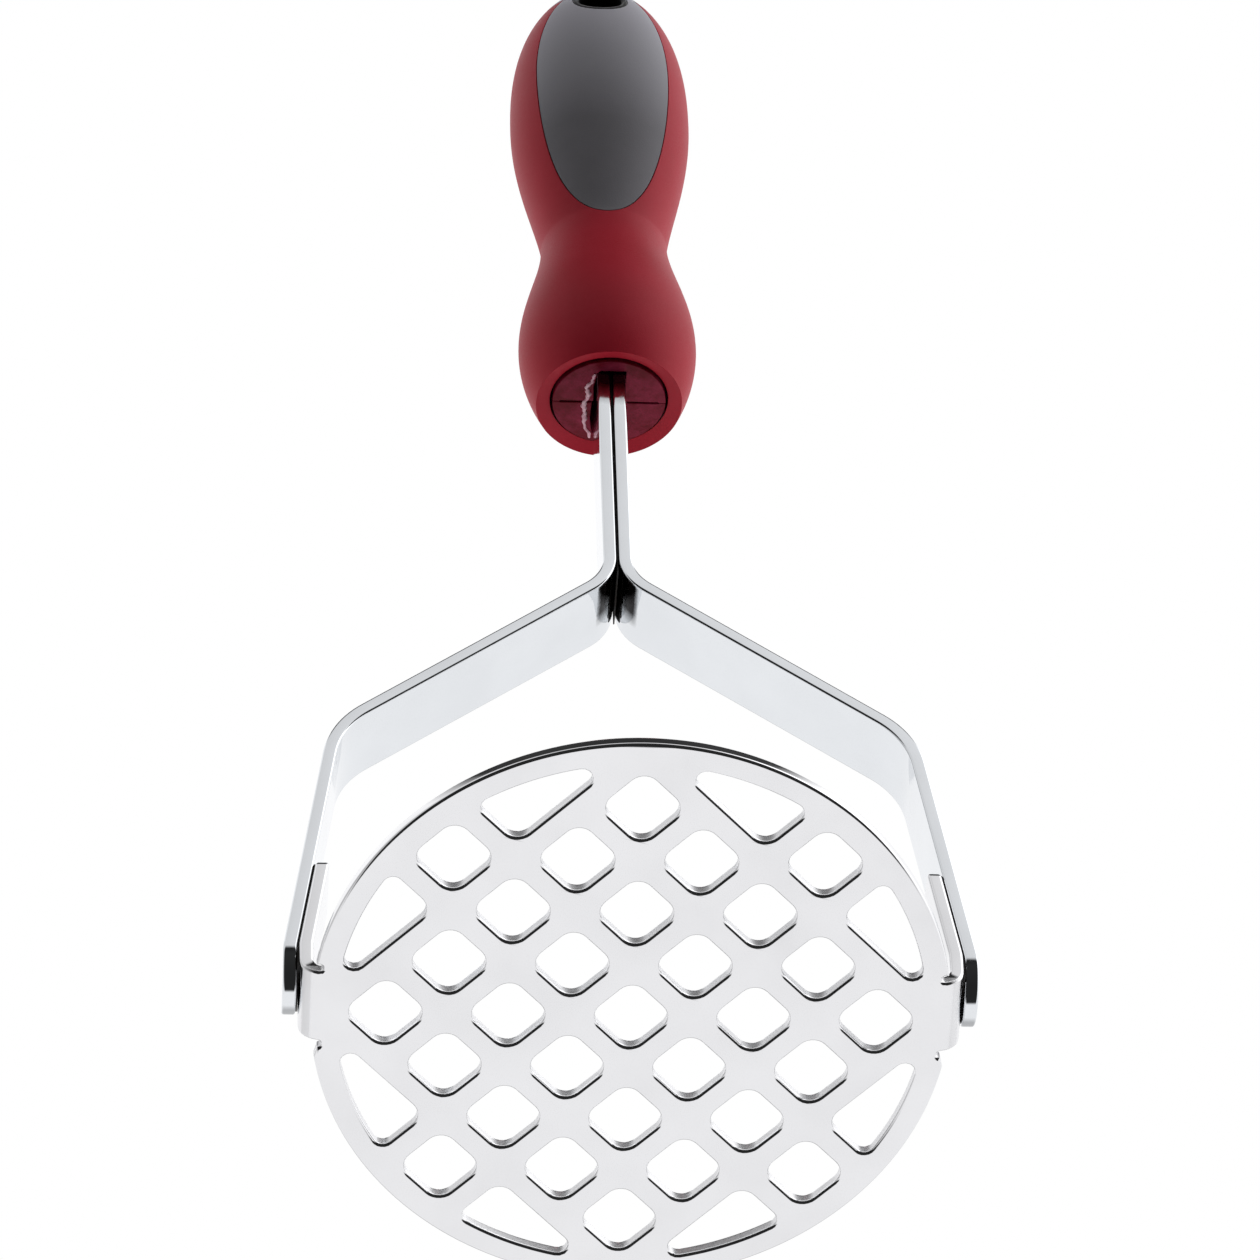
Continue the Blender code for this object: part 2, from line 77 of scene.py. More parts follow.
# %% Sockets that can be added and multiplied
class Wire:
    """One output socket of a node, ready to be used in a sum."""

    def __init__(self, nodes, socket):
        self.nodes = nodes
        self.socket = socket

    def math(self, operation, *values):
        return self.nodes.add("ShaderNodeMath", {"operation": operation}, values)

    def __add__(self, other):
        return self.math("ADD", self, other)

    def __sub__(self, other):
        return self.math("SUBTRACT", self, other)

    def __rsub__(self, other):
        return self.math("SUBTRACT", other, self)

    def __mul__(self, other):
        return self.math("MULTIPLY", self, other)

    def __truediv__(self, other):
        return self.math("DIVIDE", self, other)

    def __rtruediv__(self, other):
        return self.math("DIVIDE", other, self)

    def __pow__(self, other):
        return self.math("POWER", self, other)

    __radd__ = __add__
    __rmul__ = __mul__

    def absolute(self):
        return self.math("ABSOLUTE", self)

    def larger(self, other):
        return self.math("MAXIMUM", self, other)


# %% A net of nodes
class Nodes:
    """The node tree of a material or of the world."""

    def __init__(self, tree):
        self.tree = tree

    def add(self, kind, settings=None, sockets=(), output=0):
        node = self.tree.nodes.new(kind)
        for name, value in (settings or {}).items():
            setattr(node, name, value)
        pairs = sockets.items() if isinstance(sockets, dict) else enumerate(sockets)
        for key, value in pairs:
            self.feed(node.inputs[key], value)
        return Wire(self, node.outputs[output])

    def feed(self, socket, value):
        if isinstance(value, Wire):
            self.tree.links.new(value.socket, socket)
        elif isinstance(value, tuple) and len(value) == 3 and socket.type == "RGBA":
            socket.default_value = (*value, 1.0)
        else:
            socket.default_value = value

    def vectors(self, operation, first, second, output=0):
        return self.add("ShaderNodeVectorMath", {"operation": operation}, [first, second], output)

    def parts(self, vector):
        """The x, y and z of a vector."""
        node = self.add("ShaderNodeSeparateXYZ", {}, [vector]).socket.node
        return [Wire(self, output) for output in node.outputs]

    def place(self):
        """Where a point of the surface is, in metres."""
        return self.add("ShaderNodeTexCoord", output="Object")

    def handle_way(self, axis):
        """How far a point is from the start of the handle's axis, along one axis of the handle's frame."""
        away = self.vectors("SUBTRACT", self.place(), tuple(HANDLE_FRAME.translation))
        return self.vectors("DOT_PRODUCT", away, tuple(HANDLE_FRAME.col[axis])[:3], output=1)

    def noise(self, scale, detail=2.0, rough=0.5, vector=None):
        sockets = {"Vector": vector or self.place(), "Scale": scale, "Detail": detail, "Roughness": rough}
        return self.add("ShaderNodeTexNoise", {}, sockets)

    def spread(self, value, low, high, to_low=0.0, to_high=1.0):
        """Maps the range low..high of a value onto to_low..to_high, held inside it."""
        sockets = {"Value": value, "From Min": low, "From Max": high, "To Min": to_low, "To Max": to_high}
        return self.add("ShaderNodeMapRange", {"clamp": True}, sockets)

    def fade(self, value, low, high):
        """1 below a range of the value, falling to 0 at the range's end."""
        return self.spread(value, low, high, 1.0, 0.0)

    def blend(self, amount, first, second):
        return self.add("ShaderNodeMix", {"data_type": "RGBA"}, {0: amount, 6: first, 7: second}, output=2)

    def bump(self, height, strength, distance):
        sockets = {"Height": height, "Strength": strength, "Distance": distance}
        return self.add("ShaderNodeBump", {}, sockets)


def new_finish(name):
    """A material, its net and the shader that the net feeds."""
    material = bpy.data.materials.new(name)
    material.use_nodes = True
    nodes = Nodes(material.node_tree)
    return material, nodes, material.node_tree.nodes["Principled BSDF"]


def finish(nodes, shader, **values):
    """Feeds the shader's sockets. A space in a socket's name is written as _."""
    for name, value in values.items():
        nodes.feed(shader.inputs[name.replace("_", " ")], value)


# %% [markdown]
# ## Bright chrome
#
# Chromed strip is a mirror with very small faults. Rolling leaves it faintly wavy, handling leaves hair-fine
# scratches, and the press leaves the odd tiny dent. The waves bend the reflections, so they are a slow bump,
# while the scratches only change how rough the mirror is.
#
# Painted shade makes the narrow crevice between the two strips near black, most of all in a lozenge where
# their bends start, and darkens the strips where they enter the handle. The punched walls of the plate's
# holes never see the polishing wheel, so they are duller than its face.

# %% Painted shade on the strips, and the duller punched walls
SHEET = 2.2 * MM  # the steel of the plate and its ears
LOZENGE_UP = 84.5 * MM
LOZENGE_HALF_WIDTH = 3.1 * MM
LOZENGE_HALF_HEIGHT = 10.5 * MM
MOUTH_SHADE_START = 126.5 * MM
MOUTH_SHADE_END = 131.0 * MM
# The colour of the painted shade on the strips.
STRIP_SHADE_BLACK = (0.014, 0.012, 0.012)


def painted_strip_shade(nodes, hairs):
    """1 where shade is painted: in the crevice between the strips, in a lozenge where their bends start, and
    where they enter the handle; 0 elsewhere.
    """
    x, y, up = (nodes.handle_way(axis) for axis in range(3))
    ragged = hairs - 0.5
    wide = x.absolute()
    away = wide / LOZENGE_HALF_WIDTH + (up - LOZENGE_UP).absolute() / LOZENGE_HALF_HEIGHT
    lozenge = nodes.fade(away + ragged * 0.10, 0.90, 1.12)
    lozenge = lozenge * nodes.spread(y, -6.45 * MM, -6.1 * MM) * nodes.fade(y, 0.0, 3.0 * MM)
    gap = nodes.fade(wide, 0.22 * MM, 0.36 * MM)
    mouth_shade = nodes.spread(up + ragged * 0.0015, MOUTH_SHADE_START, MOUTH_SHADE_END, 0.0, 0.90)
    mouth_shade = mouth_shade * nodes.fade(y, -6.3 * MM, -5.7 * MM)
    return lozenge.larger(gap).larger(mouth_shade)


def punched_wall(nodes):
    """1 on the walls of the plate's holes and notches, and 0 on its faces and its rim."""
    x, y, z = nodes.parts(nodes.place())
    y = y - PLATE_FRAME.translation.y
    wall = nodes.fade((z - SHEET / 2).absolute(), 0.50 * MM, 0.75 * MM)
    inside = nodes.fade((x * x + y * y) ** 0.5, PLATE_RADIUS - 2.0 * MM, PLATE_RADIUS - 1.2 * MM)
    beside_ears = nodes.fade(y.absolute(), 10.0 * MM, 11.0 * MM)
    return wall * inside.larger(beside_ears)


# %% Chrome
def chrome_finish(name, along, tint=(0.790, 0.790, 0.800), roughness=0.07, kind=""):
    """Chrome whose fine scratches run along one direction, given as a stretch of each axis."""
    material, nodes, shader = new_finish(name)
    hairs = nodes.noise(900.0, 2.0, 0.6, nodes.vectors("MULTIPLY", nodes.place(), along))
    smudge = nodes.noise(60.0, 3.0, 0.55)
    grains = nodes.noise(2600.0, 1.0, 0.5)
    waves = nodes.noise(45.0, 1.0, 0.4)
    dents = nodes.add("ShaderNodeTexVoronoi", {}, {"Vector": nodes.place(), "Scale": 110.0})
    rough = nodes.spread(hairs, 0.45, 0.75, roughness * 0.8, roughness * 1.5)
    rough = rough + nodes.spread(smudge, 0.45, 0.75, 0.0, roughness * 0.7)
    colour = nodes.blend(nodes.spread(smudge, 0.35, 0.75), tint, tuple(part * 0.94 for part in tint))
    if kind == "strip":
        # Painted shade: the strips turn near black in their crevice and where they enter the handle.
        colour = nodes.blend(painted_strip_shade(nodes, hairs), colour, STRIP_SHADE_BLACK)
    if kind == "plate":
        rough = rough + punched_wall(nodes) * 0.36
    height = waves + nodes.spread(dents, 0.0, 0.08, -0.06, 0.0) + grains * 0.004
    bump = nodes.bump(height, 0.25, 0.0006)
    finish(nodes, shader, Base_Color=colour, Metallic=1.0, Roughness=rough, Normal=bump)
    return material


plate_chrome = chrome_finish("plate_chrome", (1.0, 0.12, 1.0), kind="plate")
strip_chrome = chrome_finish("strip_chrome", (1.0, 1.0, 0.08), tint=(0.765, 0.785, 0.805), kind="strip")
print("made", plate_chrome.name, "and", strip_chrome.name)

# %% [markdown]
# ## Soft-touch rubber
#
# The handle's skin is a soft overmould. It has no shine, but it has a bloom: seen at a slant it turns paler,
# which the shader's sheen gives. The mould was blasted, so the surface has a fine even grain, and dust and
# fingers leave it slightly uneven in colour. The grey pad's front is painted lighter towards its top, as
# painted light.

# %% Rubber
PAD_LIGHT_START = 189.0 * MM
PAD_LIGHT_END = 225.0 * MM


def rubber_finish(name, deep, worn, bloom, roughness, painted_light=None):
    """Rubber between a deep and a worn colour. Given painted_light, the top of the handle's front is painted
    towards that colour, as painted light.
    """
    material, nodes, shader = new_finish(name)
    cloudy = nodes.spread(nodes.noise(70.0, 4.0, 0.6), 0.35, 0.70)
    fine = nodes.noise(4200.0, 2.0, 0.6)
    specks = nodes.spread(nodes.noise(1500.0, 1.0, 0.5), 0.70, 0.78)
    colour = nodes.blend(cloudy * 0.7 + specks * 0.3, deep, worn)
    if painted_light:
        # Painted light: the colour turns lighter up the top of the handle's front, where light falls on it.
        lit_top = nodes.spread(nodes.handle_way(2), PAD_LIGHT_START, PAD_LIGHT_END)
        lit_top = lit_top * nodes.fade(nodes.handle_way(1), -7.0 * MM, 0.0)
        colour = nodes.blend(lit_top, colour, painted_light)
    rough = nodes.spread(fine, 0.3, 0.7, roughness - 0.06, roughness + 0.06) + cloudy * 0.04
    finish(nodes, shader, Base_Color=colour, Roughness=rough, Normal=nodes.bump(fine, 0.25, 0.0001))
    finish(nodes, shader, Sheen_Weight=0.22, Sheen_Roughness=0.30, Sheen_Tint=bloom, Specular_IOR_Level=0.18)
    return material


red_deep = (0.450, 0.008, 0.024)
red_worn = (0.520, 0.018, 0.040)
red_rubber = rubber_finish("red_rubber", red_deep, red_worn, (1.0, 0.55, 0.60), 0.50)
grey_deep = (0.182, 0.176, 0.190)
grey_worn = (0.215, 0.208, 0.224)
# The grey's last colour is painted light for the top of the pad's front.
grey_rubber = rubber_finish("grey_rubber", grey_deep, grey_worn, (0.92, 0.93, 1.0), 0.55, (0.52, 0.51, 0.56))
print("made", red_rubber.name, "and", grey_rubber.name)

# %% [markdown]
# ## Hard plastics
#
# The core that shows in the handle's mouth is a harder, shinier plum plastic, mottled where it cooled. The
# hanging hole's lining is near black, painted shade for the dark inside of the hole. The line of flash beside
# the strips is a thin pink skin of the same plastic.

# %% Plum core, its flash, and the lining painted black as shade
def plastic_finish(name, dark, light, roughness, mottle=180.0, shine=0.5):
    material, nodes, shader = new_finish(name)
    mottled = nodes.spread(nodes.noise(mottle, 4.0, 0.65), 0.42, 0.68)
    grain = nodes.noise(3000.0, 1.0, 0.5)
    rough = nodes.spread(mottled, 0.0, 1.0, roughness, roughness * 1.5)
    height = mottled * 0.6 + grain * 0.1
    colour = nodes.blend(mottled, dark, light)
    finish(nodes, shader, Base_Color=colour, Roughness=rough, Normal=nodes.bump(height, 0.3, 0.0003))
    finish(nodes, shader, Specular_IOR_Level=shine)
    return material


plum_plastic = plastic_finish("plum_plastic", (0.155, 0.004, 0.014), (0.300, 0.024, 0.060), 0.34, 260.0, 0.09)
pink_flash = plastic_finish("pink_flash", (0.72, 0.36, 0.44), (0.95, 0.68, 0.73), 0.30, 700.0, 0.4)
# Painted shade: the hole's lining is near black for the dark inside of the hole.
hole_shade_plastic = plastic_finish("hole_shade_plastic", (0.004, 0.004, 0.005), (0.010, 0.010, 0.011), 0.34, 300.0)
pin_steel = chrome_finish("pin_steel", (1.0, 1.0, 1.0), (0.58, 0.58, 0.57), 0.30)
print("made", plum_plastic.name, pink_flash.name, hole_shade_plastic.name, pin_steel.name)

# %% [markdown]
# ## Making meshes
#
# Most pieces here are computed point by point. The first helpers turn points and faces into an object that
# rides on the masher's one body, with its faces outwards and smooth shading except across real edges.
# Weighted normals keep the big flat faces flat right up to their rounded borders. The helpers after them draw
# rounded lines, and sheets made of rows of points.

# %% From points to a piece
@contextmanager
def edited(mesh):
    """A mesh opened for editing, and written back when the block ends."""
    work = bmesh.new()
    work.from_mesh(mesh)
    yield work
    work.to_mesh(mesh)
    work.free()


def merge_doubles(work):
    bmesh.ops.remove_doubles(work, verts=work.verts, dist=1e-6)


def face_outwards(work):
    bmesh.ops.recalc_face_normals(work, faces=work.faces)


def dress(name, mesh, paint, where, nodes=(), sharp=40.0):
    """Makes a mesh a piece of the masher, in the place of the model's nodes that it stands for."""
    with edited(mesh) as work:
        merge_doubles(work)
        face_outwards(work)
    mesh.transform(where)
    mesh.shade_smooth()
    mesh.set_sharp_from_angle(angle=math.radians(sharp))
    made = bpy.data.objects.new(name, mesh)
    bpy.context.scene.collection.objects.link(made)
    mesh.materials.append(paint)
    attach(made, "root")
    if nodes:
        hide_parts(*nodes)
    print(name, len(mesh.polygons), "faces")
    return made


def piece(name, points, faces, paint, where, nodes=(), sharp=40.0):
    mesh = bpy.data.meshes.new(name)
    mesh.from_pydata([tuple(point) for point in points], [], faces)
    return dress(name, mesh, paint, where, nodes, sharp)


def add_modifier(made, kind, **settings):
    modifier = made.modifiers.new(kind.lower(), kind)
    for name, value in settings.items():
        setattr(modifier, name, value)


def even_normals(made):
    add_modifier(made, "WEIGHTED_NORMAL", keep_sharp=True, weight=80)


# %% Rounded lines
def arc(centre, radius, start, end, steps):
    turn = [start + (end - start) * step / steps for step in range(steps + 1)]
    return [Vector((centre[0] + radius * math.cos(a), centre[1] + radius * math.sin(a))) for a in turn]


def round_corner(before, corner, after, radius, steps):
    into = (before - corner).normalized()
    out = (after - corner).normalized()
    half = into.angle(out) / 2
    centre = corner + (into + out).normalized() * radius / math.sin(half)
    first = corner + into * radius / math.tan(half) - centre
    last = corner + out * radius / math.tan(half) - centre
    start = math.atan2(first.y, first.x)
    return arc(centre, radius, start, start - first.angle_signed(last), steps)


def rounded_path(corners, radii, steps):
    points = [corners[0]]
    for number, radius in enumerate(radii, start=1):
        points += round_corner(corners[number - 1], corners[number], corners[number + 1], radius, steps)
    return points + [corners[-1]]


def rounded_loop(corners, radius, steps):
    points = []
    for number, corner in enumerate(corners):
        after = corners[(number + 1) % len(corners)]
        points += round_corner(corners[number - 1], corner, after, radius, steps)
    return points


# %% Sheets made of rows
def sheet_mesh(name, rows):
    """A mesh from rows of equally many points; a row may close on itself or shrink to one point."""
    points = [point for row in rows for point in row]
    width = len(rows[0])
    faces = []
    for number in range(len(rows) - 1):
        for column in range(width - 1):
            start = number * width + column
            faces.append((start, start + 1, start + width + 1, start + width))
    mesh = bpy.data.meshes.new(name)
    mesh.from_pydata([tuple(point) for point in points], [], faces)
    with edited(mesh) as work:
        merge_doubles(work)
        bmesh.ops.dissolve_degenerate(work, edges=work.edges, dist=1e-7)
    return mesh


def spaced(low, high, steps):
    return [low + (high - low) * step / steps for step in range(steps + 1)]


# %% [markdown]
# ## Sheet metal
#
# A flat part punched from sheet is an outline with a thickness, and the punch leaves its edges slightly
# rolled. A filled 2D curve with a small bevel is exactly that, and it keeps every hole.

# %% Punched sheet
def punched(outlines, thickness, roll, resolution=2):
    curve = bpy.data.curves.new("outline", "CURVE")
    curve.dimensions = "2D"
    curve.fill_mode = "BOTH"
    curve.extrude = thickness / 2 - roll
    curve.bevel_depth = roll
    curve.bevel_resolution = resolution
    curve.offset = -roll
    for outline in outlines:
        spline = curve.splines.new("POLY")
        spline.points.add(len(outline) - 1)
        for point, (x, y) in zip(spline.points, outline):
            point.co = (x, y, 0.0, 1.0)
        spline.use_cyclic_u = True
    drawn = bpy.data.objects.new("outline", curve)
    bpy.context.scene.collection.objects.link(drawn)
    bpy.context.view_layer.update()
    graph = bpy.context.evaluated_depsgraph_get()
    mesh = bpy.data.meshes.new_from_object(drawn.evaluated_get(graph))
    bpy.data.objects.remove(drawn)
    bpy.data.curves.remove(curve)
    return mesh


# %% [markdown]
# ## The plate's holes
#
# Diamonds stand on a square grid turned by 45 degrees. Where the rim cuts the grid, two bar edges run on
# until they meet the rim's inner circle, which gives the eight larger, leaf-like holes.

# %% Hole outlines
HOLE_SIDE = 9.5 * MM
HOLE_PITCH = 13.55 * MM  # one hole and one bar
HOLE_STEP = HOLE_PITCH / math.sqrt(2)  # half the distance from a hole to the next one in its row
HOLE_CORNER = 2.6 * MM
RIM_WIDTH = 3.9 * MM
RIM_INNER = PLATE_RADIUS - RIM_WIDTH
RIM_HOLE_CORNER = 1.6 * MM


def diamond(column, row):
    middle = Vector((column, row)) * HOLE_STEP
    tip = HOLE_SIDE / math.sqrt(2)
    corners = [middle + Vector(way) * tip for way in ((1, 0), (0, 1), (-1, 0), (0, -1))]
    return rounded_loop(corners, HOLE_CORNER, 7)


def rim_fillet(normal, distance, side):
    """The arc between a straight edge and the rim: its centre, and the angles where it meets each."""
    inward = distance - RIM_HOLE_CORNER
    run = math.sqrt((RIM_INNER - RIM_HOLE_CORNER) ** 2 - inward**2)
    centre = normal * inward + Vector((-normal.y, normal.x)) * side * run
    return centre, math.atan2(normal.y, normal.x), math.atan2(centre.y, centre.x)


def rim_hole():
    """One of the eight holes that the rim cuts short. The others are its mirror images."""
    middle = Vector((2, 4)) * HOLE_STEP
    outer_edge = Vector((1, -1)).normalized()
    inner_edge = Vector((-1, -1)).normalized()
    low = middle + (outer_edge + inner_edge) * (HOLE_SIDE / 2 - HOLE_CORNER)
    first, first_edge, first_rim = rim_fillet(outer_edge, middle.dot(outer_edge) + HOLE_SIDE / 2, 1)
    last, last_edge, last_rim = rim_fillet(inner_edge, middle.dot(inner_edge) + HOLE_SIDE / 2, -1)
    points = arc(low, HOLE_CORNER, math.pi * 5 / 4, math.pi * 7 / 4, 7)
    points += arc(first, RIM_HOLE_CORNER, first_edge, first_rim, 6)
    points += arc((0, 0), RIM_INNER, first_rim, last_rim, 12)[1:-1]
    return points + arc(last, RIM_HOLE_CORNER, last_rim, last_edge + 2 * math.pi, 6)


def hole_outlines():
    cells = [(column, row) for column in range(-4, 5) for row in range(-4, 5)]
    inside = [cell for cell in cells if sum(cell) % 2 == 0 and sorted(map(abs, cell)) != [4, 4]]
    outlines = [diamond(*cell) for cell in inside if sorted(map(abs, cell)) != [2, 4]]
    for side_x in (1, -1):
        for side_y in (1, -1):
            outlines.append([Vector((side_x * x, side_y * y)) for x, y in rim_hole()])
            outlines.append([Vector((side_x * y, side_y * x)) for x, y in rim_hole()])
    return outlines


print(len(hole_outlines()), "holes")

# %% [markdown]
# ## The plate and its two ears
#
# On the real masher the ears are part of the plate's blank. The blank is punched with two straight tabs, with
# a small round notch each side of each tab's root so that the bend doesn't tear, and then the tabs are folded
# up. The same order works here: draw the blank, cut the tabs across where they will bend, and fold the
# points.

# %% The blank with its tabs
EAR_WIDTH = 12.4 * MM
EAR_FORWARD = 1.3 * MM  # how far an ear's middle stands in front of the strip's middle
EAR_STAND_OFF = 1.9 * MM  # how far an ear's outer face stands outside the plate's edge
EAR_OUT = PLATE_RADIUS + EAR_STAND_OFF - SHEET / 2
EAR_BEND = 2.6 * MM
EAR_TOP = 22.2 * MM
NOTCH = 0.6 * MM
TAB_CORNER = 1.2 * MM
TAB_HALF = EAR_WIDTH / 2 / math.cos(LEAN)
TAB_MIDDLE = math.tan(LEAN) * (AXIS_HEIGHT - SHEET) - EAR_FORWARD / math.cos(LEAN)
BEND_START = EAR_OUT - EAR_BEND
BEND_LENGTH = EAR_BEND * math.pi / 2


def tab_end(edge):
    """A corner of the tab's end in the blank, placed so that the folded ear's top is square to the handle."""
    up = EAR_TOP + edge * TAB_HALF * math.sin(LEAN)
    height = AXIS_HEIGHT + up * math.cos(LEAN) - EAR_FORWARD * math.sin(LEAN)
    out = BEND_START + BEND_LENGTH + height - SHEET / 2 - EAR_BEND
    return Vector((out, TAB_MIDDLE + edge * TAB_HALF))


def blank_side():
    """The blank's right half, from its lowest point round to its highest."""
    notches = [Vector((BEND_START + NOTCH, TAB_MIDDLE + edge * (TAB_HALF + NOTCH))) for edge in (-1, 1)]
    below = math.asin((notches[0].y - NOTCH) / PLATE_RADIUS)
    above = math.asin((notches[1].y + NOTCH) / PLATE_RADIUS)
    points = arc((0, 0), PLATE_RADIUS, -math.pi / 2, below, 48)
    points += arc(notches[0], NOTCH, -math.pi / 2, -math.pi * 3 / 2, 12)
    ends = [notches[0] + Vector((0, NOTCH)), tab_end(-1), tab_end(1), notches[1] - Vector((0, NOTCH))]
    points += rounded_path(ends, [TAB_CORNER, TAB_CORNER], 6)[1:-1]
    points += arc(notches[1], NOTCH, -math.pi / 2, -math.pi * 3 / 2, 12)
    return points + arc((0, 0), PLATE_RADIUS, above, math.pi / 2, 40)[1:]


def blank_outline():
    right = blank_side()
    return right + [Vector((-point.x, point.y)) for point in right[-2:0:-1]]


print("blank", len(blank_outline()), "points, tab ends", tab_end(-1), tab_end(1))

# %% Fold the tabs up
LEG_START = 4.9 * MM
ELBOW_UP = 52.4 * MM
ELBOW_INSET = 7.2 * MM  # how far the elbow sits inside the strip's foot
LEG_SLOPE = ELBOW_INSET / (ELBOW_UP - LEG_START)
SOFT_BEND = 0.6 * MM
PLATE_ROLL = 0.5 * MM
EAR_CUTS = (3.0, 4.0, 5.0, 6.0, 7.0, 10.0, 14.0)  # millimetres above the bend, closest where the ear leans in


def lean_in(up):
    """How far a leg has moved inwards at this height, with a short soft bend where it starts."""
    past = up - LEG_START
    if abs(past) < SOFT_BEND:
        return LEG_SLOPE * (past + SOFT_BEND) ** 2 / (4 * SOFT_BEND)
    return LEG_SLOPE * max(past, 0.0)


def fold(point):
    """Moves a point of a tab from the flat blank to the upturned ear."""
    side = math.copysign(1.0, point.x)
    length = abs(point.x) - BEND_START
    if length <= 0 or abs(point.y - TAB_MIDDLE) > TAB_HALF + 1e-6:
        return point
    angle = min(length / EAR_BEND, math.pi / 2)
    reach = EAR_BEND - point.z
    out = BEND_START + reach * math.sin(angle)
    height = EAR_BEND - reach * math.cos(angle) + max(length - BEND_LENGTH, 0.0)
    raised = height + SHEET / 2
    y = point.y - math.tan(LEAN) * max(raised - SHEET, 0.0)
    up = (raised - AXIS_HEIGHT) * math.cos(LEAN) - y * math.sin(LEAN)
    return Vector((side * (out - lean_in(up)), y, height))


def make_plate():
    mesh = punched([blank_outline()] + hole_outlines(), SHEET, PLATE_ROLL, 3)
    cuts = [BEND_START + BEND_LENGTH * step / 8 for step in range(9)]
    cuts += [cuts[-1] + far * MM for far in EAR_CUTS]
    with edited(mesh) as work:
        merge_doubles(work)
        for side in (1, -1):
            for cut in cuts:
                whole = work.verts[:] + work.edges[:] + work.faces[:]
                plane = {"plane_co": (side * cut, 0, 0), "plane_no": (side, 0, 0)}
                bmesh.ops.bisect_plane(work, geom=whole, dist=1e-7, **plane)
        for vert in work.verts:
            vert.co = fold(vert.co)
    where = PLATE_FRAME @ Matrix.Translation((0.0, 0.0, SHEET / 2))
    even_normals(dress("plate_with_ears", mesh, plate_chrome, where, ["mashing_plate"]))


make_plate()

# %% [markdown]
# ## The yoke's strips
#
# Each strip is punched flat with a round foot and then bent three times: out of the neck, round the elbow,
# and slightly at the foot. So it is drawn flat first, as two matching edges joined by rungs like a ladder,
# with small rings round the border for the rolled edge. Then every point is carried along the bent centre
# line.

# %% The bent centre line
STRIP_WIDTH = 13.7 * MM
STRIP_THICK = 2.2 * MM
FIT = 0.3 * MM  # the gap between pieces that touch
FOOT_CENTRE = 5.4 * MM
NECK_UP = 87.2 * MM
SHOULDER_UP = 142.0 * MM  # inside the handle, where the strip narrows to its tang
TANG_UP = 193.6 * MM
BENDS = (8.0 * MM, 15.0 * MM, 8.7 * MM)  # at the foot, the elbow and the neck
FOOT_OUT = EAR_OUT + SHEET / 2 + FIT + STRIP_THICK / 2
NECK_OUT = FIT / 2 + STRIP_THICK / 2


def centre_line():
    corners = [
        Vector((FOOT_OUT, FOOT_CENTRE - STRIP_WIDTH / 2)),
        Vector((FOOT_OUT, LEG_START)),
        Vector((FOOT_OUT - ELBOW_INSET, ELBOW_UP)),
        Vector((NECK_OUT, NECK_UP)),
        Vector((NECK_OUT, TANG_UP)),
    ]
    return rounded_path(corners, BENDS, 14)


class BentLine:
    """A line of points that can be walked by length."""

    def __init__(self, points):
        self.points = points
        self.lengths = [0.0]
        for first, second in zip(points, points[1:]):
            self.lengths.append(self.lengths[-1] + (second - first).length)
        self.ways = []
        for number in range(len(points)):
            before = points[max(number - 1, 0)]
            after = points[min(number + 1, len(points) - 1)]
            self.ways.append((after - before).normalized())

    def at(self, length):
        """The point at this length, and the way that the line runs there."""
        number = 0
        while number < len(self.points) - 2 and self.lengths[number + 1] < length:
            number += 1
        span = self.lengths[number + 1] - self.lengths[number]
        part = (length - self.lengths[number]) / span
        spot = self.points[number].lerp(self.points[number + 1], part)
        way = self.ways[number].lerp(self.ways[number + 1], min(max(part, 0.0), 1.0)).normalized()
        return spot, way


line = BentLine(centre_line())
print("strip length", round(line.lengths[-1], 4))

# %% Draw the strip flat
STRIP_ROLL = 0.38 * MM
TANG_STEP = 1.6 * MM  # how much narrower the tang is than the strip, on each side
SHOULDER_CUT = 1.0 * MM


def strip_edge(total):
    """One edge of the flat strip: half width and length, from the foot's tip to the end of the tang."""
    half = STRIP_WIDTH / 2
    turns = [step * math.pi / 32 for step in range(16)]
    edge = [(half * math.sin(turn), half * (1 - math.cos(turn))) for turn in turns]
    shoulder = total - (TANG_UP - SHOULDER_UP)
    stations = sorted(set(line.lengths[1:-1]) | {half + 0.012 * step for step in range(12)})
    edge += [(half, length) for length in stations if half <= length < shoulder - 1.5 * MM]
    edge += [(half, shoulder - SHOULDER_CUT), (half - SHOULDER_CUT, shoulder)]
    return edge + [(half - TANG_STEP, shoulder + SHOULDER_CUT), (half - TANG_STEP, total)]


def rolled_profile():
    """Each ring of the rolled edge: how far it is inside the border, and its height."""
    upper = []
    for step in range(4):
        turn = math.pi / 2 * step / 3
        upper.append((STRIP_ROLL * (1 - math.sin(turn)), STRIP_THICK / 2 - STRIP_ROLL * (1 - math.cos(turn))))
    return upper + [(inset, -height) for inset, height in upper[::-1]]


def strip_faces(size, rings, rungs):
    """The faces round the border, and a ladder of faces on each broad side."""
    faces = []
    for ring in range(rings - 1):
        for number in range(size):
            after = (number + 1) % size
            first = ring * size
            faces.append((first + number, first + after, first + size + after, first + size + number))
    for first in (0, (rings - 1) * size):
        faces.append((first, first + 1, first + size - 1))
        for number in range(1, rungs - 1):
            last = first + size - number
            faces.append((first + number, first + number + 1, last - 1, last))
    return faces


